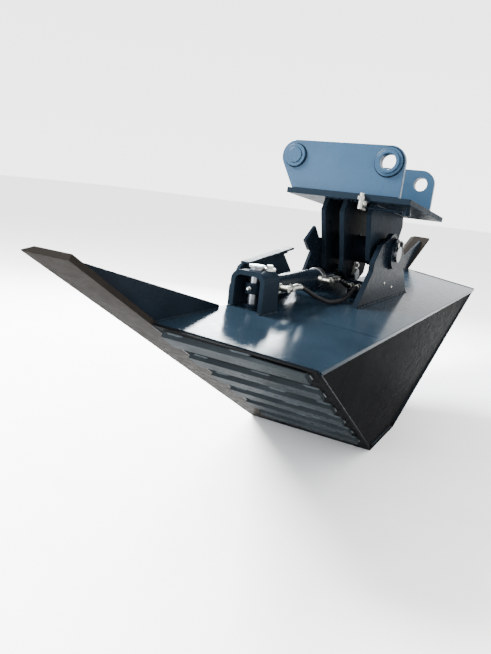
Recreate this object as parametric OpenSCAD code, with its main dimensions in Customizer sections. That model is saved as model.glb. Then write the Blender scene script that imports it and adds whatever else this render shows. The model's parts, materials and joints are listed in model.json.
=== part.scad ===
// Hydraulic tilting V-profile ditch bucket for an excavator, with pin-on ears.
// X runs across the bucket, Y from the cutting edge to the closed back, Z up.

/* [Bucket] */
// Half width of the flat bottom at the cutting edge
bottom_half_front = 150; // [140:5:160]
// Half width of the flat bottom at the back
bottom_half_back = 128; // [120:2:136]
// Length of the flat bottom, front to back
keel_length = 424; // [416:2:432]
// Half width across the wing tips
tip_half = 1200; // [1180:5:1220]
// Height of the wing tips
tip_height = 620; // [610:2:630]
// How far the wing tips lie behind the cutting edge
tip_setback = 100; // [94:2:106]
// Depth of the whole bucket, at the back edge of the deck
depth = 502; // [494:2:510]
// Height of the deck at its front edge
deck_front_z = 483; // [480:1:486]
// Height of the deck at its back edge
deck_back_z = 448; // [444:1:452]
// Front edge of the deck, behind the cutting edge
deck_front_y = 160; // [158:1:162]
// Thickness of the shell plates
plate_t = 8; // [6:1:10]
// Thickness of the deck plate
deck_t = 10; // [8:1:12]

/* [Cutting edge] */
// Width of the blade bars
blade_w = 100; // [90:5:110]
// Thickness of the blade bars
blade_t = 12; // [10:1:14]
// Width of the ground bevel
bevel_w = 23; // [16:1:26]
// Thickness left at the ground nose
nose_t = 2; // [1:0.5:3]

/* [Wear strips] */
// Number of strips on each side
strip_count = 6; // [4:1:6]
// Width of a strip
strip_w = 66; // [50:2:80]
// Thickness of a strip
strip_t = 12; // [8:1:14]
// Distance from one strip to the next, up the slope
strip_pitch = 136; // [130:2:138]

/* [Tilt hinge] */
// Height of the tilt axis
tilt_z = 612; // [608:1:616]
// Tilt of the head at rest, in degrees
rest_tilt = 5; // [0:1:8]
// Radius of the tilt shaft
shaft_r = 24.95; // [24.9:0.01:24.95]
// Outer radius of the hub tube
hub_r = 43; // [40:1:46]
// Thickness of the rear tower
rear_tower_t = 16; // [14:1:18]

/* [Head] */
// Half width of the head plate
head_half = 228; // [220:2:236]
// Thickness of the head plate
head_t = 16; // [14:1:18]
// Height of the ear pins above the tilt axis
pin_up = 246; // [242:1:250]
// Distance between the two ear pin axes
pin_spacing = 290; // [284:2:296]
// Radius of the ear bores
ear_bore_r = 22.5; // [20:0.5:25]
// Half distance over the outer faces of the ears
ear_outer = 202; // [198:1:206]
// Thickness of an ear
ear_t = 16; // [14:1:18]

/* [Cylinder] */
// Distance of the rod pin below the tilt axis
lever = 84; // [80:1:86]
// Position of the cylinder axis behind the cutting edge
cyl_y = 207; // [205:1:209]
// Position of the base pin across the bucket
base_pin_x = 615; // [610:1:620]
// Outer radius of the barrel
barrel_r = 26; // [25:0.5:27]
// Bore radius of the barrel
barrel_bore_r = 21; // [20:0.5:21.5]
// Radius of the rod
rod_r = 14; // [13:0.5:15]
// Radius of the base pin
base_pin_r = 14; // [13:0.5:15]

/* [Hoses] */
// Outer diameter of a hose
hose_d = 12; // [10:1:13]

/* [Hidden] */
$fn = 64;

navy = [0.10, 0.13, 0.18];
pale_navy = [0.22, 0.30, 0.42];
zinc = [0.72, 0.72, 0.70];
steel = [0.50, 0.50, 0.52];
bronze = [0.60, 0.45, 0.25];
rubber = [0.04, 0.04, 0.04];

weld_gap = 0.02;      // seat between welded or pressed round parts
run_gap = 0.05;       // radial running clearance
big = 3000;           // larger than the whole part

corner = [bottom_half_front, 0, 0];
heel = [bottom_half_back, keel_length, 0];
tip = [tip_half, tip_setback, tip_height];
along = unit(tip - corner);
inward = unit(cross(along, heel - corner));
backward = cross(inward, along);
wing_length = norm(tip - corner);
heel_flat = on_plane(heel);
heel_turn = atan2(-heel_flat.x, heel_flat.y);
deck_slope = atan2(deck_front_z - deck_back_z, depth - deck_front_y);
back_recess = 8;      // how far the back plate stands in from the shell's back edge

pin_front_y = 60;
pin_back_y = pin_front_y + pin_spacing;
plate_up = 132;       // underside of the head plate above the tilt axis
rod_pin_x = lever * sin(rest_tilt);
rod_pin_z = tilt_z - lever * cos(rest_tilt);

front_tower_t = 10;
rear_tower_y = 335;
rib_t = 15;
rib_ys = [162, 222, 306];
hub_y0 = 162;
hub_y1 = 333;

bracket_x0 = 576;
bracket_x1 = 654;
bracket_half = 46;
bracket_top = 572;
bracket_wall = 12;

rod_pin_y0 = rib_ys[0] + 0.5;
rod_pin_y1 = rib_ys[1] + rib_t + 8;
coupling_y = [303, 428];
pipe_z = plate_up - 12;

gland_x = 236;
barrel_end = 566;
piston_x = 400;

hose_bracket_x = 70;
union_ys = [264, 288];
union_z = 500;
// The hoses stop just short of their fittings and unions
hose_base_route = [
    [484.5, 260, 528], [470, 260, 527], [452, 261, 523], [434, 263, 516.5], [416, 266, 509],
    [398, 270, 501], [378, 275, 493], [358, 281, 486], [338, 287, 480], [316, 292, 477],
    [292, 296, 476.5], [266, 298, 476.5], [240, 298, 477.5], [214, 297, 480], [188, 295, 484],
    [162, 292, 489], [138, 290, 494], [116, 288, 499], [100, 288, 500], [87.5, 288, 500]
];
hose_gland_route = [
    [220.5, 260, 528], [208, 260, 528], [194, 260, 526], [180, 261, 522],
    [164, 262, 516], [148, 263, 510], [132, 264, 504], [116, 264, 501], [100, 264, 500],
    [87.5, 264, 500]
];

function unit(v) = v / norm(v);
// A closed outline from its right half, listed from the bottom up
function both_halves(half) = concat(half, [for (i = [len(half) - 1 : -1 : 0]) [-half[i].x, half[i].y]]);
function on_plane(p) = [(p - corner) * along, (p - corner) * backward];
function side_x(y, z) = corner.x - (inward.y * y + inward.z * z) / inward.x;
function deck_z(y) = deck_front_z - (y - deck_front_y) * tan(deck_slope);
// Point where the tangent from p touches the circle (c, r)
function touch(c, r, p, side) =
    let (d = p - c, aim = atan2(d.y, d.x) + side * acos(r / norm(d)))
    c + r * [cos(aim), sin(aim)];

// Puts the cutting edge half the depth in front of the origin
module centred() {
    translate([0, -depth / 2, 0]) children();
}

// Frame in the outer plane of a sloping side: x up the edge, y back, z inwards
module on_side(side) {
    mirror([side < 0 ? 1 : 0, 0, 0])
        multmatrix([
            [along.x, backward.x, inward.x, corner.x],
            [along.y, backward.y, inward.y, corner.y],
            [along.z, backward.z, inward.z, corner.z],
            [0, 0, 0, 1]
        ])
        children();
}

// Everything on the slope's side of the mitre at the bottom corner
module above_mitre(side) {
    on_side(side) rotate([0, 0, heel_turn]) translate([0, -500, -500]) cube([big, 2000, 1000]);
}

// Everything outside the given depth below a side's outer plane
module outside_side(side, depth_in, width) {
    on_side(side) translate([-500, -100, -big]) cube([big, width + 100, big + depth_in]);
}

module above_deck(lift) {
    translate([0, deck_front_y, deck_front_z])
        rotate([-deck_slope, 0, 0])
        translate([-big / 2, -500, lift]) cube([big, 1500, 500]);
}

module below_deck(lift) {
    translate([0, deck_front_y, deck_front_z])
        rotate([-deck_slope, 0, 0])
        translate([-big / 2, -500, lift - 500]) cube([big, 1500, 500]);
}

// An outline in X and Z, extruded along +Y from y0
module upright(y0, t) {
    translate([0, y0 + t, 0]) rotate([90, 0, 0]) linear_extrude(t) children();
}

// An outline in Y and Z, extruded along +X from x0
module crosswise(x0, t) {
    translate([x0, 0, 0]) rotate([90, 0, 90]) linear_extrude(t) children();
}

module rod_x(x0, x1, y, z, r) {
    translate([x0, y, z]) rotate([0, 90, 0]) cylinder(h = x1 - x0, r = r);
}

module rod_y(y0, y1, x, z, r) {
    translate([x, y1, z]) rotate([90, 0, 0]) cylinder(h = y1 - y0, r = r);
}

// The head's own frame: origin on the tilt axis, turned by the rest tilt
module head_frame() {
    translate([0, -depth / 2, tilt_z]) rotate([0, -rest_tilt, 0]) children();
}

// ---------- bucket shell ----------

module side_plate(side) {
    foot = heel_flat * (blade_w / heel_flat.y);
    back_top = on_plane([side_x(depth, deck_back_z + 20), depth, deck_back_z + 20]);
    front_top = [deck_front_z / along.z + 40, blade_w];
    color(navy) centred() difference() {
        on_side(side) linear_extrude(plate_t) polygon([foot, heel_flat, back_top, front_top]);
        above_deck(0);
    }
}

module bottom_plate() {
    color(navy) centred() difference() {
        linear_extrude(plate_t) polygon([
            [-bottom_half_front, blade_w], [bottom_half_front, blade_w],
            [bottom_half_front, keel_length], [-bottom_half_front, keel_length]
        ]);
        above_mitre(1);
        above_mitre(-1);
    }
}

module back_plate() {
    lean = atan2(depth - keel_length, deck_back_z);
    color(navy) centred() difference() {
        translate([-tip_half, keel_length - back_recess - plate_t, 0])
            rotate([-lean, 0, 0])
            cube([2 * tip_half, plate_t, 600]);
        translate([-big / 2, -100, plate_t - 500]) cube([big, 1000, 500]);
        above_deck(-deck_t);
        outside_side(1, plate_t, 1500);
        outside_side(-1, plate_t, 1500);
    }
}

module deck_plate() {
    length = (depth - deck_front_y) / cos(deck_slope);
    color(pale_navy) centred() difference() {
        translate([0, deck_front_y, deck_front_z])
            rotate([-deck_slope, 0, 0])
            translate([-tip_half, 0, -deck_t]) cube([2 * tip_half, length, deck_t]);
        for (side = [-1, 1]) {
            outside_side(side, plate_t, 1500);
            outside_side(side, blade_t, blade_w);
        }
        // upright front edge, where the front tower and the guard lie against it
        translate([-big / 2, deck_front_y - 100, 0]) cube([big, 100, 600]);
    }
}

// ---------- cutting edge ----------

module bevel_cut(length) {
    rotate([90, 0, 90]) translate([0, 0, -100]) linear_extrude(length + 200)
        polygon([[-5, nose_t], [0, nose_t], [bevel_w, blade_t], [bevel_w, blade_t + 5], [-5, blade_t + 5]]);
}

module blade_side(side) {
    foot = heel_flat * (blade_w / heel_flat.y);
    color(navy) centred() on_side(side) difference() {
        linear_extrude(blade_t)
            polygon([[0, 0], [wing_length, 0], [wing_length, blade_w], foot]);
        bevel_cut(wing_length);
    }
}

module blade_bottom() {
    color(navy) centred() difference() {
        linear_extrude(blade_t)
            translate([-bottom_half_front, 0]) square([2 * bottom_half_front, blade_w]);
        translate([-bottom_half_front, 0, 0]) bevel_cut(2 * bottom_half_front);
        above_mitre(1);
        above_mitre(-1);
    }
}

module wing_gusset(side) {
    gusset_t = 10;
    color(navy) centred() difference() {
        upright(deck_front_y, gusset_t)
            polygon([
                [side * 706, 440], [side * 706, 490], [side * 1136, 609],
                [side * 1190, 609], [side * 1000, 440]
            ]);
        below_deck(0);
        outside_side(side, blade_t, blade_w);
        outside_side(side, plate_t, 1500);
    }
}

module wear_strips(side) {
    first = 242;         // top edge of the lowest strip, up the slope
    fan = 2;             // lean of the strips against the cutting edge, in degrees
    reach = 12;          // clear of the blade's back edge
    strip_length = 298;
    below_edge = 6;      // how far the highest strip stays under the deck's top face
    color(navy) centred() difference() {
        on_side(side)
            for (i = [0 : strip_count - 1])
                translate([first + i * strip_pitch, blade_w + reach, -strip_t])
                    rotate([0, 0, fan])
                    translate([-strip_w, 0, 0])
                    cube([strip_w, strip_length, strip_t]);
        above_deck(-below_edge);
    }
}

// ---------- tilt hinge on the bucket ----------

module tower_top() {
    translate([0, tilt_z]) circle(r = 62);
}

module front_tower() {
    color(navy) centred() difference() {
        upright(deck_front_y - front_tower_t, front_tower_t) union() {
            polygon(both_halves([
                [250, 440], [263, 483], [192, 597], [212, 601],
                [248, 631], [188, 674], [150, 640], [90, 636], [50, 648]
            ]));
            tower_top();
        }
        rod_y(0, 400, 0, tilt_z, shaft_r + weld_gap);
    }
}

module rear_tower() {
    color(navy) centred() difference() {
        upright(rear_tower_y, rear_tower_t) union() {
            polygon(both_halves([[290, 440], [166, 563], [165, 588], [112, 640], [50, 656]]));
            tower_top();
        }
        below_deck(0);
        rod_y(0, 400, 0, tilt_z, shaft_r + weld_gap);
    }
}

module tower_bosses() {
    front = deck_front_y - front_tower_t;
    back = rear_tower_y + rear_tower_t;
    color(navy) centred() difference() {
        union() {
            rod_y(front - 8, front, 0, tilt_z, 46);
            rod_y(back, back + 14, 0, tilt_z, 48);
        }
        rod_y(0, 400, 0, tilt_z, shaft_r + weld_gap);
    }
}

module tilt_shaft() {
    front = deck_front_y - front_tower_t - 8;
    color(steel) centred() {
        difference() {
            rod_y(front, rear_tower_y + rear_tower_t + 24, 0, tilt_z, shaft_r);
            translate([-40, rear_tower_y + rear_tower_t + 14, tilt_z + 17]) cube([80, 6, 20]);
        }
        rod_y(front - 8, front, 0, tilt_z, 34);
    }
}

module shaft_keeper() {
    y0 = rear_tower_y + rear_tower_t + 14;
    color(navy) centred() difference() {
        translate([-36, y0 + 0.2, tilt_z + 17.2]) cube([72, 5.6, 24]);
        for (s = [-1, 1]) rod_y(y0 - 5, y0 + 20, s * 27, tilt_z + 30, 4.5);
    }
}

module shaft_keeper_bolts() {
    y0 = rear_tower_y + rear_tower_t + 14;
    color(zinc) centred() for (s = [-1, 1]) {
        rod_y(y0, y0 + 5.8, s * 27, tilt_z + 30, 4.4);
        translate([s * 27, y0 + 11.8, tilt_z + 30]) rotate([90, 0, 0]) cylinder(h = 6, r = 8, $fn = 6);
    }
}

// ---------- cylinder base ----------

module rounded_top(half, top, r) {
    translate([-half, 0]) square([2 * half, top - r]);
    translate([-half + r, 0]) square([2 * (half - r), top]);
    for (s = [-1, 1]) translate([s * (half - r), top - r]) circle(r = r);
}

module cylinder_bracket() {
    color(navy) centred() difference() {
        crosswise(bracket_x0, bracket_x1 - bracket_x0) translate([cyl_y, 0]) difference() {
            rounded_top(bracket_half, bracket_top, 26);
            rounded_top(bracket_half - bracket_wall, bracket_top - bracket_wall, 15);
        }
        below_deck(0);
        translate([base_pin_x, cyl_y, 400]) cylinder(h = 300, r = base_pin_r + weld_gap);
    }
}

module base_pin_socket() {
    color(navy) centred() difference() {
        translate([base_pin_x, cyl_y, 460]) cylinder(h = 30, r = 22);
        below_deck(0);
        translate([base_pin_x, cyl_y, 400]) cylinder(h = 300, r = base_pin_r + weld_gap);
    }
}

module base_pin() {
    foot = deck_z(cyl_y) + 3;
    color(steel) centred() translate([base_pin_x, cyl_y, foot]) {
        cylinder(h = bracket_top - foot + 6, r = base_pin_r);
        translate([0, 0, bracket_top - foot + 6]) cylinder(h = 6, r = base_pin_r + 5);
    }
}

module base_pin_keeper() {
    color(zinc) centred() difference() {
        translate([base_pin_x - 34, cyl_y - 4, bracket_top]) cube([24, 38, 6]);
        translate([base_pin_x, cyl_y, bracket_top - 1]) cylinder(h = 20, r = base_pin_r + 0.1);
        translate([base_pin_x - 24, cyl_y + 22, bracket_top - 1]) cylinder(h = 20, r = 4.5);
    }
}

module keeper_bolt() {
    color(zinc) centred() translate([base_pin_x - 24, cyl_y + 22, bracket_top]) {
        cylinder(h = 6, r = 4.4);
        translate([0, 0, 6]) cylinder(h = 7, r = 8.5, $fn = 6);
    }
}

module cylinder_guard() {
    color(navy) centred() upright(deck_front_y - front_tower_t, front_tower_t)
        polygon([[275, 448], [641, 448], [641, 527], [610, 573], [600, 578], [390, 604], [326, 548]]);
}

module guard_lip() {
    lip_slope = atan2(26, 210);
    color(navy) centred() translate([600, deck_front_y - front_tower_t, 578.2])
        rotate([0, lip_slope, 0]) translate([-249, 0, 0]) cube([246, 26, 6]);
}

// ---------- hose ends on the bucket ----------

module hose_bracket() {
    color(navy) centred() difference() {
        crosswise(hose_bracket_x, 8) translate([250, 440]) square([52, 78]);
        below_deck(0);
        for (y = union_ys) rod_x(0, 200, y, union_z, 8 + weld_gap);
    }
}

module hose_unions() {
    color(zinc) centred() for (y = union_ys) {
        rod_x(hose_bracket_x - 14, hose_bracket_x + 16, y, union_z, 8);
        translate([hose_bracket_x + 8, y, union_z]) rotate([0, 90, 0])
            cylinder(h = 8, r = 10.5, $fn = 6);
        translate([hose_bracket_x - 8, y, union_z]) rotate([0, 90, 0])
            cylinder(h = 8, r = 10.5, $fn = 6);
    }
}

// ---------- head ----------

module head_plate() {
    color(pale_navy) head_frame() translate([-head_half, 61, plate_up]) cube([2 * head_half, 377, head_t]);
}

module ear(side) {
    r = 46;
    foot_b = plate_up + head_t;
    front_c = [pin_front_y, pin_up];
    back_c = [pin_back_y, pin_up];
    front_foot = [64, foot_b];
    back_foot = [398, foot_b];
    color(pale_navy) head_frame() difference() {
        crosswise(side > 0 ? ear_outer - ear_t : -ear_outer, ear_t) union() {
            translate(front_c) circle(r = r);
            translate(back_c) circle(r = r);
            polygon([
                front_foot, back_foot, touch(back_c, r, back_foot, 1),
                back_c + [0, r], front_c + [0, r], touch(front_c, r, front_foot, -1)
            ]);
        }
        rod_x(-300, 300, pin_back_y, pin_up, ear_bore_r);
        rod_x(-300, 300, pin_front_y, pin_up, ear_bore_r);
    }
}

module ear_bosses(side) {
    color(pale_navy) head_frame() mirror([side < 0 ? 1 : 0, 0, 0]) difference() {
        union() {
            rod_x(ear_outer, ear_outer + 7, pin_back_y, pin_up, 40);
            rod_x(ear_outer + 7, ear_outer + 14, pin_back_y, pin_up, 32);
            rod_x(ear_outer, ear_outer + 9, pin_front_y, pin_up, 33);
        }
        rod_x(-300, 300, pin_back_y, pin_up, ear_bore_r);
        rod_x(-300, 300, pin_front_y, pin_up, ear_bore_r);
    }
}

module ear_pin() {
    color(steel) head_frame()
        rod_x(-ear_outer - 9, ear_outer + 12, pin_front_y, pin_up, ear_bore_r - run_gap);
}

module ear_pin_keeper() {
    x0 = -ear_outer - 15;
    color(zinc) head_frame() {
        translate([x0, pin_front_y - 14, pin_up - 20]) cube([6, 28, 40]);
        translate([x0 - 6, pin_front_y, pin_up]) rotate([0, 90, 0]) cylinder(h = 6, r = 9, $fn = 6);
    }
}

// The two front ribs reach down past the rod pin, the rear one stops below the hub
module rib_outline(low) {
    foot = low ? [[22, -110], [60, -102], [106, -78]] : [[96, -46]];
    polygon(both_halves(concat(foot, [[116, -34], [181, plate_up - 35], [165, plate_up]])));
}

module rib(i, low) {
    color(navy) head_frame() difference() {
        upright(rib_ys[i], rib_t) rib_outline(low);
        rod_y(0, 500, 0, 0, hub_r + weld_gap);
        if (low) rod_y(0, 500, 0, -lever, rod_r + weld_gap);
    }
}

module hub_tube() {
    color(navy) head_frame() difference() {
        rod_y(hub_y0, hub_y1, 0, 0, hub_r);
        rod_y(0, 500, 0, 0, 30);
    }
}

module hub_bushes() {
    color(bronze) head_frame() difference() {
        union() {
            rod_y(hub_y0, hub_y0 + 50, 0, 0, 30 - weld_gap);
            rod_y(hub_y1 - 50, hub_y1, 0, 0, 30 - weld_gap);
        }
        rod_y(0, 500, 0, 0, shaft_r + run_gap);
    }
}

module rod_pin() {
    color(steel) head_frame() {
        rod_y(rod_pin_y0, rod_pin_y1, 0, -lever, rod_r - run_gap);
        rod_y(rod_pin_y1, rod_pin_y1 + 6, 0, -lever, rod_r + 5);
    }
}

module rod_pin_keeper() {
    y0 = rib_ys[1] + rib_t;
    color(zinc) head_frame() {
        difference() {
            translate([-12, y0, -lever + 8]) cube([24, 7.8, 32]);
            rod_y(0, 500, 0, -lever, rod_r + 0.1);
        }
        translate([0, y0 + 13.8, -lever + 30]) rotate([90, 0, 0]) cylinder(h = 6, r = 7, $fn = 6);
    }
}

module rod_pin_spacer() {
    color(navy) head_frame() difference() {
        rod_y(rib_ys[0] + rib_t, cyl_y - 11.2, 0, -lever, 24);
        rod_y(0, 500, 0, -lever, rod_r + weld_gap);
    }
}

module edge_coupling() {
    edge_reach = 32;     // the upright half stands clear of the head plate's edge
    color(zinc) head_frame() {
        translate([head_half - 20, coupling_y[0], 0]) {
            translate([0, 0, pipe_z - 14]) cylinder(h = 26, r = 7);
            translate([edge_reach, 0, pipe_z - 14]) cylinder(h = 44, r = 7);
            translate([edge_reach, 0, pipe_z + 12]) cylinder(h = 9, r = 11, $fn = 6);
            translate([0, -7, pipe_z - 14]) cube([edge_reach, 14, 14]);
        }
    }
}

module rear_coupling() {
    color(navy) head_frame() translate([head_half - 22, coupling_y[1], pipe_z - 16]) {
        cylinder(h = 28, r = 8);
        cylinder(h = 10, r = 12, $fn = 6);
    }
}

module coupling_pipe() {
    color(navy) head_frame()
        rod_y(coupling_y[0] + 7, coupling_y[1] - 12.1, head_half - 21, pipe_z - 6, 4);
}

// ---------- tilt cylinder ----------

module on_cylinder() {
    translate([0, cyl_y - depth / 2, rod_pin_z]) children();
}

module cylinder_rod() {
    color(zinc) on_cylinder() rod_x(rod_pin_x + 27, piston_x, 0, 0, rod_r);
}

module rod_eye() {
    color(navy) on_cylinder() difference() {
        union() {
            rod_y(-11, 11, rod_pin_x, 0, 24);
            rod_x(rod_pin_x + 10, rod_pin_x + 27, 0, 0, 11);
        }
        rod_y(-50, 50, rod_pin_x, 0, 17);
    }
}

module rod_eye_bush() {
    color(bronze) on_cylinder() difference() {
        rod_y(-11, 11, rod_pin_x, 0, 17 - weld_gap);
        rod_y(-50, 50, rod_pin_x, 0, rod_r);
    }
}

module piston() {
    color(steel) on_cylinder() difference() {
        rod_x(piston_x, piston_x + 32, 0, 0, barrel_bore_r - run_gap);
        for (x = [8, 22]) difference() {
            rod_x(piston_x + x, piston_x + x + 3, 0, 0, barrel_bore_r + 1);
            rod_x(piston_x + x, piston_x + x + 3, 0, 0, barrel_bore_r - 2);
        }
    }
}

module barrel() {
    color(navy) on_cylinder() difference() {
        rod_x(gland_x + 24, barrel_end - 14, 0, 0, barrel_r);
        rod_x(0, 900, 0, 0, barrel_bore_r);
    }
}

module gland() {
    color(steel) on_cylinder() difference() {
        union() {
            rod_x(gland_x, gland_x + 24, 0, 0, barrel_r + 3);
            rod_x(gland_x + 24, gland_x + 50, 0, 0, barrel_bore_r - weld_gap);
        }
        rod_x(0, 900, 0, 0, rod_r + run_gap);
    }
}

module base_cap() {
    eye_r = 23;
    color(navy) on_cylinder() difference() {
        union() {
            rod_x(barrel_end - 14, barrel_end, 0, 0, barrel_r);
            translate([barrel_end, -13, -13]) cube([base_pin_x - barrel_end, 26, 26]);
            translate([base_pin_x, 0, -13]) cylinder(h = 26, r = eye_r);
        }
        translate([base_pin_x, 0, -50]) cylinder(h = 100, r = base_pin_r + 1.5);
    }
}

// Elbow on the barrel's back side, ending in a swivel that points along -X
module elbow_fitting(x, reach) {
    on_cylinder() {
        rod_y(barrel_r - 1, barrel_r + 10, x, 0, 12);
        rod_y(barrel_r + 10, barrel_r + 34, x, 0, 8);
        rod_x(x - 22, x, barrel_r + 27, 0, 7.5);
        translate([x - 30, barrel_r + 27, 0]) rotate([0, 90, 0]) cylinder(h = 12, r = 11, $fn = 6);
        rod_x(x - reach, x - 30, barrel_r + 27, 0, 8.5);
    }
}

module base_fitting() {
    color(zinc) difference() {
        elbow_fitting(548, 62);
        on_cylinder() rod_x(0, 900, 0, 0, barrel_r);
    }
}

module gland_fitting() {
    color(zinc) difference() {
        elbow_fitting(282, 60);
        on_cylinder() rod_x(0, 900, 0, 0, barrel_r);
    }
}

// ---------- hoses ----------

// Smooth points on a route: a Catmull-Rom curve through the listed points
function curve(p, n) = [
    for (i = [0 : len(p) - 2]) for (j = [0 : n - 1])
        let (
            a = p[max(i - 1, 0)], b = p[i], c = p[i + 1], d = p[min(i + 2, len(p) - 1)],
            t = j / n
        )
        0.5 * ((2 * b) + (c - a) * t + (2 * a - 5 * b + 4 * c - d) * t * t
            + (3 * b - a - 3 * c + d) * t * t * t),
    p[len(p) - 1]
];
function heading(p, i) = unit(p[min(i + 1, len(p) - 1)] - p[max(i - 1, 0)]);

// A closed tube swept along a route that never runs straight up
module swept_tube(route, r, sides) {
    p = curve(route, 2);
    last = len(p) - 1;
    rings = [
        for (i = [0 : last])
            let (h = heading(p, i), u = unit(cross(h, [0, 0, 1])), v = cross(u, h))
            for (k = [0 : sides - 1])
                p[i] + r * (u * cos(360 * k / sides) + v * sin(360 * k / sides))
    ];
    walls = [
        for (i = [0 : last - 1]) for (k = [0 : sides - 1])
            let (n = (k + 1) % sides, a = i * sides, b = a + sides)
            [a + k, b + k, b + n, a + n]
    ];
    caps = [
        [for (k = [0 : sides - 1]) k],
        [for (k = [0 : sides - 1]) last * sides + sides - 1 - k]
    ];
    polyhedron(points = rings, faces = concat(walls, caps));
}

module hose_base() {
    color(rubber) centred() swept_tube(hose_base_route, hose_d / 2, 10);
}

module hose_gland() {
    color(rubber) centred() swept_tube(hose_gland_route, hose_d / 2, 10);
}

// ---------- drawing ----------

side_plate(1);  // side_plate_right
side_plate(-1);  // side_plate_left
bottom_plate();
back_plate();
deck_plate();
blade_side(1);  // blade_right
blade_side(-1);  // blade_left
blade_bottom();
wing_gusset(1);  // wing_gusset_right
wing_gusset(-1);  // wing_gusset_left
wear_strips(1);  // wear_strips_right
wear_strips(-1);  // wear_strips_left
front_tower();
rear_tower();
tower_bosses();
tilt_shaft();
shaft_keeper();
shaft_keeper_bolts();
cylinder_bracket();
base_pin_socket();
base_pin();
base_pin_keeper();
keeper_bolt();
cylinder_guard();
guard_lip();
hose_bracket();
hose_unions();
head_plate();
ear(1);  // ear_right
ear(-1);  // ear_left
ear_bosses(1);  // ear_bosses_right
ear_bosses(-1);  // ear_bosses_left
ear_pin();
ear_pin_keeper();
rib(0, true);  // rib_front
rib(1, true);  // rib_middle
rib(2, false);  // rib_rear
hub_tube();
hub_bushes();
rod_pin();
rod_pin_keeper();
rod_pin_spacer();
edge_coupling();
rear_coupling();
coupling_pipe();
cylinder_rod();
rod_eye();
rod_eye_bush();
piston();
barrel();
gland();
base_cap();
base_fitting();
gland_fitting();
hose_base();
hose_gland();
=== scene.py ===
"""Looks of the hydraulic tilting V ditch bucket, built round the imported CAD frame."""

import json
import math
import random

import bpy
from mathutils import Matrix, Vector


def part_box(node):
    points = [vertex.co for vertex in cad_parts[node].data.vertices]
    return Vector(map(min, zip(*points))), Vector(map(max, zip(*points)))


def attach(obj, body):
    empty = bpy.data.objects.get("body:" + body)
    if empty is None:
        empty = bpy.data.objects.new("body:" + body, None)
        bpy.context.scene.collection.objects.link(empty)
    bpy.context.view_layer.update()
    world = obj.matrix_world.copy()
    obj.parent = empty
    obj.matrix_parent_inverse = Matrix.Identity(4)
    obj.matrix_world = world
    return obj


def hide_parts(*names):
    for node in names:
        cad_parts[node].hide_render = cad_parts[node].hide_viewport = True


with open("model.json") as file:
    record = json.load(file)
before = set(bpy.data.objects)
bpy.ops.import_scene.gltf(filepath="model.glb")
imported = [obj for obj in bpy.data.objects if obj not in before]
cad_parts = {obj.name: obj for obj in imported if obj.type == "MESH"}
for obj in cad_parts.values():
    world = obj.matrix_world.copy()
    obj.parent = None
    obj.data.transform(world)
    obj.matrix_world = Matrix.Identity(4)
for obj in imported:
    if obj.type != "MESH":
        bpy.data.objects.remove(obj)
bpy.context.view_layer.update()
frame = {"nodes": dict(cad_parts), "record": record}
random.seed(7)

# ---------- the CAD's own measures, in metres ----------

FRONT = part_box("blade_bottom")[0].y       # the cutting edge
DECK_Y, DECK_Z = 0.160, 0.483             # the deck's upper front edge
DECK_SLOPE = 0.035 / 0.342                # fall of the deck towards the back
TOWER_IN, TOWER_OUT = 0.335, 0.351        # the rear tower's two faces
EAR_IN, EAR_OUT = 0.186, 0.202            # an ear's two faces, from the head's middle
TILT = math.radians(5)                    # lean of the head at rest
AXIS_Z = 0.612                            # height of the tilt shaft
BRACKET_LOW, BRACKET_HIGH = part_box("cylinder_bracket")
CYLINDER = sum(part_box("barrel"), Vector()) / 2


def row(x, y, z):
    """A point given from the cutting edge, in the row frame."""
    return Vector((x, FRONT + y, z))


def head(a, y, b):
    """A point in the head's own tilted frame, in the row frame."""
    c, s = math.cos(TILT), math.sin(TILT)
    return Vector((a * c - b * s, FRONT + y, AXIS_Z + a * s + b * c))


def deck_z(y):
    return DECK_Z - (y - DECK_Y) * DECK_SLOPE


# The outer face of a side plate: its foot at the edge and at the back, and the tip of its blade
CORNER = Vector((0.150, 0, 0))
BACK_FOOT = Vector((0.128, 0.424, 0))
TIP = Vector((1.200, 0.100, 0.620))
ALONG = (TIP - CORNER).normalized()
INWARD = ALONG.cross(BACK_FOOT - CORNER).normalized()
BACKWARD = INWARD.cross(ALONG)


def side_x(y, z):
    """Distance of a side plate's outer face from the middle of the bucket."""
    return CORNER.x - (INWARD.y * y + INWARD.z * z) / INWARD.x


def on_side(side, a, b, depth):
    """A point a up the slope, b back from the edge, depth into a side plate."""
    p = CORNER + ALONG * a + BACKWARD * b + INWARD * depth
    return Vector((side * p.x, FRONT + p.y, p.z))


# ---------- camera ----------

YAW, PITCH, ROLL = -2.0734, -0.2317, 0.1143
forward = Vector((math.sin(YAW) * math.cos(PITCH), math.cos(YAW) * math.cos(PITCH), math.sin(PITCH)))
level = Vector((math.cos(YAW), -math.sin(YAW), 0))
upward = level.cross(forward)
cam_x = level * math.cos(ROLL) + upward * math.sin(ROLL)
cam_y = -level * math.sin(ROLL) + upward * math.cos(ROLL)
lens = bpy.data.cameras.new("camera")
lens.lens = 31.14
lens.sensor_width = 36
lens.shift_x = -0.0030
lens.shift_y = 0.0012
camera = bpy.data.objects.new("camera", lens)
bpy.context.scene.collection.objects.link(camera)
camera.matrix_world = Matrix.Translation((1.7972, 0.5987, 0.7458)) @ Matrix(
    (cam_x, cam_y, -forward)
).transposed().to_4x4()
bpy.context.scene.camera = camera


# ---------- materials ----------


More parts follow.
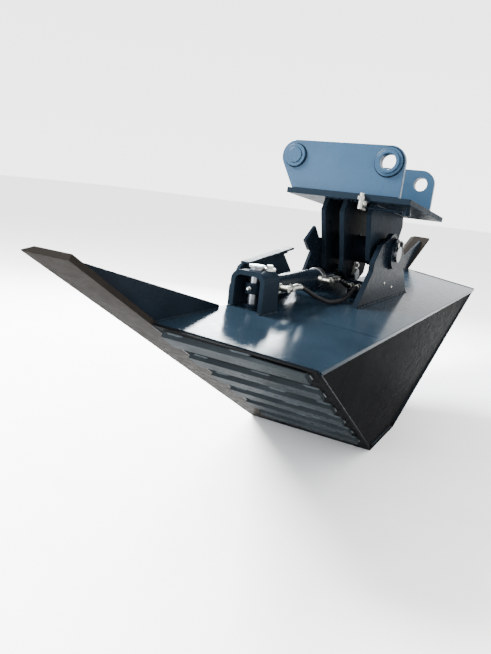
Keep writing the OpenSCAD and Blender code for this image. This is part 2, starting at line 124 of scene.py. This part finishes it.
def material(name, colour, metallic, roughness, ior=1.45, spread=0.25, grain=40, bump=0.04):
    """A finish with noise in its colour, its roughness and its surface."""
    mat = bpy.data.materials.new(name)
    mat.use_nodes = True
    nodes, links = mat.node_tree.nodes, mat.node_tree.links
    shader = nodes["Principled BSDF"]
    shader.inputs["Base Color"].default_value = (*colour, 1)
    shader.inputs["Metallic"].default_value = metallic
    shader.inputs["Roughness"].default_value = roughness
    shader.inputs["IOR"].default_value = ior
    place = nodes.new("ShaderNodeTexCoord")

    def noise(scale, detail):
        texture = nodes.new("ShaderNodeTexNoise")
        texture.inputs["Scale"].default_value = scale
        texture.inputs["Detail"].default_value = detail
        links.new(place.outputs["Object"], texture.inputs["Vector"])
        return texture

    def ramp(source, low, high):
        stops = nodes.new("ShaderNodeValToRGB")
        stops.color_ramp.elements[0].position = 0.3
        stops.color_ramp.elements[1].position = 0.7
        stops.color_ramp.elements[0].color = (*low, 1)
        stops.color_ramp.elements[1].color = (*high, 1)
        links.new(source.outputs["Fac"], stops.inputs["Fac"])
        return stops

    shade = ramp(noise(7, 6), [c * (1 - spread) for c in colour], [c * (1 + spread) for c in colour])
    links.new(shade.outputs["Color"], shader.inputs["Base Color"])
    worn = ramp(noise(grain, 5), [roughness * 0.8] * 3, [roughness * 1.25] * 3)
    links.new(worn.outputs["Color"], shader.inputs["Roughness"])
    rough = nodes.new("ShaderNodeBump")
    rough.inputs["Strength"].default_value = bump
    rough.inputs["Distance"].default_value = 0.0006
    links.new(noise(grain * 8, 3).outputs["Fac"], rough.inputs["Height"])
    links.new(rough.outputs["Normal"], shader.inputs["Normal"])
    return mat


FINISH = {
    "paint": material("navy_paint", (0.0036, 0.0060, 0.0094), 0, 0.26, ior=1.08, bump=0.02),
    "steel": material("machined_steel", (0.17, 0.175, 0.185), 1, 0.34, grain=90),
    "chrome": material("hard_chrome", (0.72, 0.73, 0.75), 1, 0.10, spread=0.04),
    "zinc": material("zinc_plate", (0.27, 0.27, 0.25), 1, 0.30, spread=0.12, grain=90),
    "bronze": material("bush_bronze", (0.55, 0.38, 0.18), 1, 0.38),
    "hose": material("hose_rubber", (0.008, 0.008, 0.0085), 0, 0.55, ior=1.15, grain=160, bump=0.25),
}
# Painted highlight: the stitch welds carry the same navy paint, made paler in colour to stand for their glints.
STITCH_PAINTED_HIGHLIGHT = material("stitch_weld_painted_highlight", (0.028, 0.034, 0.038), 0, 0.25, ior=1.12)
# One navy paint, in variants by piece. They stand in for what each piece reflects in the photograph,
# which a plain studio lacks. Their low IOR is not a real paint's.
# Painted light: a lighter copy of the navy paint for the lit faces of the ears, their bosses and the pin.
EAR_NAVY_PAINTED_LIGHT = material(
    "navy_paint_painted_light", (0.014, 0.034, 0.062), 0, 0.30, ior=1.18, spread=0.10, bump=0.02
)
# Painted light: a lighter copy of the navy paint for the lit deck.
DECK_NAVY_PAINTED_LIGHT = material(
    "navy_paint_deck_painted_light", (0.007, 0.013, 0.020), 0, 0.16, ior=1.065, spread=0.20, bump=0.01
)
# Painted reflection: a brownish grey copy of the navy paint for the ground reflected in the side, back and
# bottom plates.
SHELL_NAVY_PAINTED_REFLECTION = material(
    "navy_paint_shell_painted_reflection", (0.0045, 0.0047, 0.0050), 0, 0.28, ior=1.008, spread=0.15, bump=0.02
)
# Painted reflection: a brown copy of the navy paint for the ground reflected in the blades.
BLADE_NAVY_PAINTED_REFLECTION = material(
    "navy_paint_blade_painted_reflection", (0.0095, 0.0084, 0.0076), 0, 0.30, ior=1.012, spread=0.15, bump=0.02
)
# Painted reflection: a paler grey copy of the navy paint for the ground reflected in the wear strips.
STRIP_NAVY_PAINTED_REFLECTION = material(
    "navy_paint_strip_painted_reflection", (0.0140, 0.0170, 0.0190), 0, 0.30, ior=1.012, spread=0.30, bump=0.02
)
# Painted light: a lighter copy of the navy paint for the lit head plate, guard lip, cylinder bracket, guard and
# ribs.
EDGE_NAVY_PAINTED_LIGHT = material(
    "navy_paint_edge_painted_light", (0.0058, 0.0092, 0.0135), 0, 0.30, ior=1.03, bump=0.02
)
PAINTED = {
    EAR_NAVY_PAINTED_LIGHT: ("ear_right", "ear_left", "ear_bosses_right", "ear_bosses_left", "ear_pin"),
    DECK_NAVY_PAINTED_LIGHT: ("deck_plate",),
    SHELL_NAVY_PAINTED_REFLECTION: ("side_plate_right", "side_plate_left", "back_plate", "bottom_plate"),
    BLADE_NAVY_PAINTED_REFLECTION: ("blade_right", "blade_left", "blade_bottom"),
    STRIP_NAVY_PAINTED_REFLECTION: ("wear_strips_right", "wear_strips_left"),
    EDGE_NAVY_PAINTED_LIGHT: (
        "head_plate", "guard_lip", "cylinder_bracket", "cylinder_guard", "rib_front", "rib_middle", "rib_rear",
    ),
}
PAINT_OF = {node: finish for finish, nodes in PAINTED.items() for node in nodes}
slots = {s["node"]: s["material_slot"] for s in frame["record"]["subparts"]}
EDGE_ROUND = 0.0011


def smooth(obj):
    for face in obj.data.polygons:
        face.use_smooth = True
    return obj


for name, obj in frame["nodes"].items():
    obj.data.materials.clear()
    finish = PAINT_OF.get(name, FINISH[slots[name]])
    obj.data.materials.append(finish)
    weld = obj.modifiers.new("weld", "WELD")
    weld.merge_threshold = 0.00001
    flat = obj.modifiers.new("flat", "DECIMATE")
    flat.decimate_type = "DISSOLVE"
    flat.angle_limit = math.radians(0.5)
    edge = obj.modifiers.new("edge", "BEVEL")
    edge.width = EDGE_ROUND
    edge.segments = 2
    edge.limit_method = "ANGLE"
    edge.angle_limit = math.radians(35)
    normals = obj.modifiers.new("normals", "WEIGHTED_NORMAL")
    normals.keep_sharp = True


# ---------- builders ----------


def made(name, points, faces, body, slot, finish=None):
    """A piece that Blender adds, riding on a body."""
    mesh = bpy.data.meshes.new(name)
    mesh.from_pydata([tuple(p) for p in points], [], faces)
    mesh.update()
    obj = bpy.data.objects.new(name, mesh)
    bpy.context.scene.collection.objects.link(obj)
    mesh.materials.append(finish or FINISH[slot])
    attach(smooth(obj), body)
    return obj


def sampled(points, step):
    """Points spaced evenly along a polyline."""
    out = []
    for a, b in zip(points, points[1:]):
        n = max(1, round((b - a).length / step))
        out += [a.lerp(b, i / n) for i in range(n)]
    return out + [points[-1]]


def bead(name, points, radius, body, closed=False, finish=None):
    """A painted weld bead: a rope of ripples laid along a line."""
    line = sampled(points, 0.0016)
    if closed:
        line = line[:-1]
    count, sides = len(line), 8
    rings = []
    for i, p in enumerate(line):
        ahead = line[(i + 1) % count] if closed else line[min(i + 1, count - 1)]
        behind = line[i - 1] if closed else line[max(i - 1, 0)]
        along = (ahead - behind).normalized()
        u = along.cross(Vector((0.31, 0.17, 0.93))).normalized()
        v = along.cross(u)
        ripple = 1 + 0.13 * math.sin(i * 1.9) + random.uniform(-0.05, 0.05)
        end = 1 if closed else min(1, 0.35 + 0.3 * min(i, count - 1 - i))
        r = radius * ripple * end
        rings += [
            p + u * (r * math.cos(t)) + v * (r * math.sin(t))
            for t in (2 * math.pi * k / sides for k in range(sides))
        ]
    faces = []
    for i in range(count if closed else count - 1):
        j = (i + 1) % count
        for k in range(sides):
            n = (k + 1) % sides
            faces.append((i * sides + k, i * sides + n, j * sides + n, j * sides + k))
    if not closed:
        faces.append(tuple(reversed(range(sides))))
        faces.append(tuple((count - 1) * sides + k for k in range(sides)))
    return made(name, rings, faces, body, "paint", finish)


def circle(centre, axis, radius, count=72):
    """Points round a ring, the first one repeated at the end."""
    axis = axis.normalized()
    u = axis.orthogonal().normalized()
    v = axis.cross(u)
    return [
        centre + u * (radius * math.cos(t)) + v * (radius * math.sin(t))
        for t in (2 * math.pi * k / count for k in range(count + 1))
    ]


def turned(name, origin, axis, profile, body, slot, sides=28):
    """A turned piece: (distance along the axis, radius) pairs, closed at both ends."""
    axis = axis.normalized()
    u = axis.orthogonal().normalized()
    v = axis.cross(u)
    points = [
        origin + axis * h + (u * math.cos(t) + v * math.sin(t)) * r
        for h, r in profile
        for t in (2 * math.pi * k / sides for k in range(sides))
    ]
    faces = [
        (i * sides + k, i * sides + (k + 1) % sides, (i + 1) * sides + (k + 1) % sides, (i + 1) * sides + k)
        for i in range(len(profile) - 1)
        for k in range(sides)
    ]
    faces.append(tuple(reversed(range(sides))))
    faces.append(tuple((len(profile) - 1) * sides + k for k in range(sides)))
    obj = made(name, points, faces, body, slot)
    edge = obj.modifiers.new("edge", "BEVEL")
    edge.width = 0.0003
    edge.limit_method = "ANGLE"
    obj.modifiers.new("normals", "WEIGHTED_NORMAL")
    return obj


# ---------- hoses ----------

# Each runs from its elbow on the cylinder to its union behind the rear tower
HOSE_BASE = [
    (0.4845, 0.260, 0.528), (0.470, 0.260, 0.527), (0.452, 0.261, 0.523), (0.434, 0.263, 0.5165),
    (0.416, 0.266, 0.509), (0.398, 0.270, 0.501), (0.378, 0.275, 0.493), (0.358, 0.281, 0.486),
    (0.338, 0.287, 0.480), (0.316, 0.292, 0.477), (0.292, 0.296, 0.4765), (0.266, 0.298, 0.4765),
    (0.240, 0.298, 0.4775), (0.214, 0.297, 0.480), (0.188, 0.295, 0.484), (0.162, 0.292, 0.489),
    (0.138, 0.290, 0.494), (0.116, 0.288, 0.499), (0.100, 0.288, 0.500), (0.0875, 0.288, 0.500),
]
HOSE_GLAND = [
    (0.2205, 0.260, 0.528), (0.208, 0.260, 0.528), (0.194, 0.260, 0.526), (0.180, 0.261, 0.522),
    (0.164, 0.262, 0.516), (0.148, 0.263, 0.510), (0.132, 0.264, 0.504), (0.116, 0.264, 0.501),
    (0.100, 0.264, 0.500), (0.0875, 0.264, 0.500),
]


def curve_through(route, n=6):
    """A smooth curve through a route, with n points to each span."""
    p = [row(*q) for q in route]
    out = []
    for i in range(len(p) - 1):
        a, b, c, d = p[max(i - 1, 0)], p[i], p[i + 1], p[min(i + 2, len(p) - 1)]
        for j in range(n):
            t = j / n
            out.append(0.5 * (
                2 * b + (c - a) * t + (2 * a - 5 * b + 4 * c - d) * t**2 + (3 * b - a - 3 * c + d) * t**3
            ))
    return out + [p[-1]]


HOSE_RADIUS = 0.006
FERRULE = [
    (0, 0.0062), (0.0005, 0.0082), (0.004, 0.0082), (0.0046, 0.0075), (0.0065, 0.0075), (0.0071, 0.0082),
    (0.0105, 0.0082), (0.0111, 0.0075), (0.013, 0.0075), (0.0136, 0.0082), (0.018, 0.0082), (0.0185, 0.0062),
]


def hose(name, route):
    line = curve_through(route)
    curve = bpy.data.curves.new(name, "CURVE")
    curve.dimensions = "3D"
    curve.bevel_depth = HOSE_RADIUS
    curve.bevel_resolution = 5
    curve.use_fill_caps = True
    spline = curve.splines.new("POLY")
    spline.points.add(len(line) - 1)
    for point, p in zip(spline.points, line):
        point.co = (*p, 1)
    spline.use_smooth = True
    obj = bpy.data.objects.new(name + "_tube", curve)
    bpy.context.scene.collection.objects.link(obj)
    curve.materials.append(FINISH["hose"])
    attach(obj, "barrel")
    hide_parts(name)
    # The far ferrules stop 1.3 mm short of the unions, which stay with the bucket as the barrel moves
    for label, p, q, reach in (("near", line[0], line[8], 0.0012), ("far", line[-1], line[-9], 0.0002)):
        out = (p - q).normalized()
        turned(f"{name}_ferrule_{label}", p + out * reach, -out, FERRULE, "barrel", "zinc")
    return obj


hose("hose_base", HOSE_BASE)
hose("hose_gland", HOSE_GLAND)

# ---------- weld beads on the head ----------

for s, label in ((1, "right"), (-1, "left")):
    for face, x in (("out", EAR_OUT), ("in", EAR_IN)):
        bead(
            f"weld_ear_{label}_{face}", [head(s * x, 0.067, 0.1485), head(s * x, 0.395, 0.1485)], 0.0042, "head"
        )
    normal = head(1, 0, 0) - head(0, 0, 0)
    for end, y, r in (("back", 0.350, 0.0402), ("front", 0.060, 0.0332)):
        ring = circle(head(s * EAR_OUT, y, 0.246), normal, r)
        bead(f"weld_boss_{end}_{label}", ring, 0.0028, "head", True)
for i, y in enumerate((0.162, 0.177, 0.222, 0.237, 0.306, 0.321)):
    for s, label in ((1, "right"), (-1, "left")):
        bead(f"weld_rib_{i}_{label}", [head(s * 0.010, y, 0.1315), head(s * 0.162, y, 0.1315)], 0.0036, "head")
for i, y in enumerate((0.177, 0.222, 0.237, 0.306)):
    bead(f"weld_hub_{i}", circle(head(0, y, 0), Vector((0, 1, 0)), 0.0432), 0.0030, "head", True)

# ---------- weld beads on the bucket ----------

bead("weld_front_tower", [row(-0.258, 0.1605, 0.4835), row(0.258, 0.1605, 0.4835)], 0.0040, "bucket")
for label, y in (("in", TOWER_IN), ("out", TOWER_OUT)):
    z = deck_z(y)
    bead(f"weld_rear_tower_{label}", [row(-0.262, y, z), row(0.262, y, z)], 0.0044, "bucket")
for label, y, r in (("front", 0.150, 0.0464), ("back", TOWER_OUT, 0.0484)):
    bead(f"weld_tower_boss_{label}", circle(row(0, y, AXIS_Z), Vector((0, 1, 0)), r), 0.0028, "bucket", True)
bead("weld_guard", [row(0.280, 0.1605, 0.4835), row(0.638, 0.1605, 0.4835)], 0.0038, "bucket")
bead("weld_guard_lip", [row(0.362, 0.1605, 0.5998), row(0.594, 0.1605, 0.5715)], 0.0026, "bucket")
for label, x in (("near", BRACKET_HIGH.x), ("far", BRACKET_LOW.x)):
    for leg, y0, y1 in (("front", 0.162, 0.172), ("back", 0.242, 0.252)):
        bead(f"weld_bracket_{label}_{leg}", [row(x, y0, deck_z(y0)), row(x, y1, deck_z(y1))], 0.0038, "bucket")
for label, y in (("back", 0.253), ("front", 0.1615), ("back_in", 0.241), ("front_in", 0.173)):
    z = deck_z(y)
    bead(f"weld_bracket_{label}", [row(BRACKET_LOW.x, y, z), row(BRACKET_HIGH.x, y, z)], 0.0040, "bucket")
pin_foot = row(0.615, 0.207, deck_z(0.207))
bead("weld_pin_socket", circle(pin_foot, Vector((0, 0, 1)), 0.0222), 0.0026, "bucket", True)
for label, x in (("near", 0.078), ("far", 0.070)):
    foot = [row(x, y, deck_z(y)) for y in (0.252, 0.300)]
    bead(f"weld_hose_bracket_{label}", foot, 0.0026, "bucket")

# Wear strips: the lowest one's upper edge, their pitch and width up the slope, their ends behind the edge
STRIP_FIRST, STRIP_PITCH, STRIP_WIDTH = 0.242, 0.136, 0.066
STRIP_START, STRIP_LENGTH, STRIP_END = 0.112, 0.298, 0.410
STRIPS = 6
FAN = math.radians(2)
PROUD = -0.0008
STITCHES = ((0.010, 0.045), (0.146, 0.190), (0.262, 0.296))

for s, label in ((1, "right"), (-1, "left")):
    for face, y in (("front", 0.160), ("back", 0.170)):
        bead(
            f"weld_gusset_foot_{label}_{face}",
            [row(s * 0.712, y, deck_z(y)), row(s * (side_x(y, 0.483) - 0.020), y, deck_z(y))],
            0.0040, "bucket",
        )
        bead(
            f"weld_gusset_edge_{label}_{face}",
            [row(s * (side_x(y, z) - 0.0225), y, z) for z in (0.488, 0.603)],
            0.0036, "bucket",
        )
    bead(
        f"weld_deck_edge_{label}",
        [row(s * (side_x(y, deck_z(y)) - 0.0155), y, deck_z(y)) for y in (0.215, 0.498)],
        0.0024, "bucket",
    )
    bead(
        f"weld_back_edge_{label}",
        [row(s * (side_x(y, z) - 0.0165), y, z) for y, z in ((0.4185, 0.014), (0.4915, 0.434))],
        0.0036, "bucket",
    )
    bead(f"weld_blade_{label}", [on_side(s, a, 0.1, 0.0005) for a in (0.020, 0.945)], 0.0022, "bucket")
    bead(f"weld_blade_in_{label}", [on_side(s, a, 0.1, 0.0082) for a in (0.030, 0.930)], 0.0034, "bucket")
    for i in range(STRIPS):
        top = STRIP_FIRST + STRIP_PITCH * i
        for j, (start, end) in enumerate(STITCHES):
            if i == STRIPS - 1 and j == len(STITCHES) - 1:    # the top strip is cut short by the deck
                continue
            line = [
                on_side(s, top - t * math.sin(FAN), STRIP_START + t * math.cos(FAN), PROUD)
                for t in (start, end)
            ]
            bead(f"stitch_{label}_{i}_{j}", line, 0.0027, "bucket", finish=STITCH_PAINTED_HIGHLIGHT)
        low = top - STRIP_WIDTH
        line = [
            on_side(s, a - STRIP_LENGTH * math.sin(FAN), STRIP_END, PROUD) for a in (low + 0.006, top - 0.030)
        ]
        bead(f"stitch_end_{label}_{i}", line, 0.0024, "bucket", finish=STITCH_PAINTED_HIGHLIGHT)
bead("weld_back_top", [row(-0.850, 0.4925, 0.4365), row(0.850, 0.4925, 0.4365)], 0.0040, "bucket")
bead("weld_back_foot", [row(-0.108, 0.4185, 0.0090), row(0.108, 0.4185, 0.0090)], 0.0036, "bucket")
bead("deck_seam", [row(0.539, 0.331, deck_z(0.331)), row(0.503, 0.492, deck_z(0.492))], 0.0007, "bucket")

# ---------- weld beads on the cylinder ----------

axis_y, axis_z = CYLINDER.y, CYLINDER.z
bead(
    "weld_base_cap", circle(Vector((0.552, axis_y, axis_z)), Vector((1, 0, 0)), 0.0260), 0.0022, "barrel", True
)
bead(
    "weld_rod_eye", circle(Vector((0.0345, axis_y, axis_z)), Vector((1, 0, 0)), 0.0112), 0.0018, "rod", True
)

# ---------- grease nipples and small round heads ----------

NIPPLE = [
    (0, 0.0052), (0.004, 0.0052), (0.0042, 0.0034), (0.007, 0.0030), (0.0075, 0.0040),
    (0.0105, 0.0040), (0.0125, 0.0022),
]
turned("nipple_hub", head(0.0, 0.200, 0.0428), head(0, 0, 1) - head(0, 0, 0), NIPPLE, "head", "zinc", 12)
turned("nipple_base_eye", Vector((0.6378, axis_y, axis_z)), Vector((1, 0, 0)), NIPPLE, "barrel", "zinc", 12)
eye_under = Vector((0.0073, axis_y, axis_z - 0.0238))
turned("nipple_rod_eye", eye_under, Vector((0, 0, -1)), NIPPLE, "rod", "zinc", 12)
ROUND_HEAD = [(-0.001, 0.0052), (0.0008, 0.0052), (0.0022, 0.0042), (0.0030, 0.0020)]
for i, (x, z) in enumerate(((0.032, 0.519), (-0.058, 0.499))):
    turned(f"round_head_{i}", row(x, TOWER_OUT, z), Vector((0, 1, 0)), ROUND_HEAD, "bucket", "zinc", 16)

# ---------- stage ----------

FLOOR_HALF = 40
corners = [(x * FLOOR_HALF, y * FLOOR_HALF, 0) for x, y in ((-1, -1), (1, -1), (1, 1), (-1, 1))]
floor_mesh = bpy.data.meshes.new("floor")
floor_mesh.from_pydata(corners, [], [(0, 1, 2, 3)])
floor = bpy.data.objects.new("floor", floor_mesh)
floor.location.z = -0.0005
bpy.context.scene.collection.objects.link(floor)
pale_floor = material("pale_floor", (0.94, 0.94, 0.935), 0, 0.75, spread=0.02, grain=20, bump=0.02)
floor_mesh.materials.append(pale_floor)

# Brightness of the studio at the horizon and overhead
HORIZON, OVERHEAD = 4.2, 2.7
world = bpy.data.worlds.new("studio")
bpy.context.scene.world = world
world.use_nodes = True
sky, joins = world.node_tree.nodes, world.node_tree.links
where = sky.new("ShaderNodeTexCoord")
height = sky.new("ShaderNodeSeparateXYZ")
joins.new(where.outputs["Generated"], height.inputs["Vector"])
shade = sky.new("ShaderNodeMapRange")
shade.inputs["From Min"].default_value = -0.1
shade.inputs["From Max"].default_value = 0.9
shade.inputs["To Min"].default_value = HORIZON
shade.inputs["To Max"].default_value = OVERHEAD
joins.new(height.outputs["Z"], shade.inputs["Value"])
joins.new(shade.outputs["Result"], sky["Background"].inputs["Strength"])
sky["Background"].inputs["Color"].default_value = (0.97, 0.98, 0.98, 1)


def softbox(name, place, target, size, power, colour):
    """A rectangular lamp turned to a target, which the camera doesn't see."""
    lamp = bpy.data.lights.new(name, "AREA")
    lamp.shape = "RECTANGLE"
    lamp.size, lamp.size_y = size
    lamp.energy = power
    lamp.color = colour
    obj = bpy.data.objects.new(name, lamp)
    bpy.context.scene.collection.objects.link(obj)
    obj.location = place
    obj.rotation_mode = "QUATERNION"
    obj.rotation_quaternion = (Vector(target) - Vector(place)).to_track_quat("-Z", "Y")
    obj.visible_camera = False


def over_deck(x, y, distance):
    """Where a lamp is seen mirrored in the deck at a point given from the cutting edge."""
    seen = row(x, y, deck_z(y))
    normal = Vector((0, DECK_SLOPE, 1)).normalized()
    return seen + (seen - camera.matrix_world.translation).normalized().reflect(normal) * distance


softbox("key", (1.5, -2.5, 3.0), (0, 0, 0.3), (1.3, 1.3), 900, (1, 0.98, 0.96))
softbox("deck_glare", over_deck(0.86, 0.24, 3), row(0.86, 0.24, 0.475), (1.7, 0.42), 330, (0.90, 0.96, 1))
softbox("ear_glow", (3.4, -1.9, 0.9), (0.2, 0, 0.85), (1.4, 1.4), 120, (0.80, 0.90, 1))
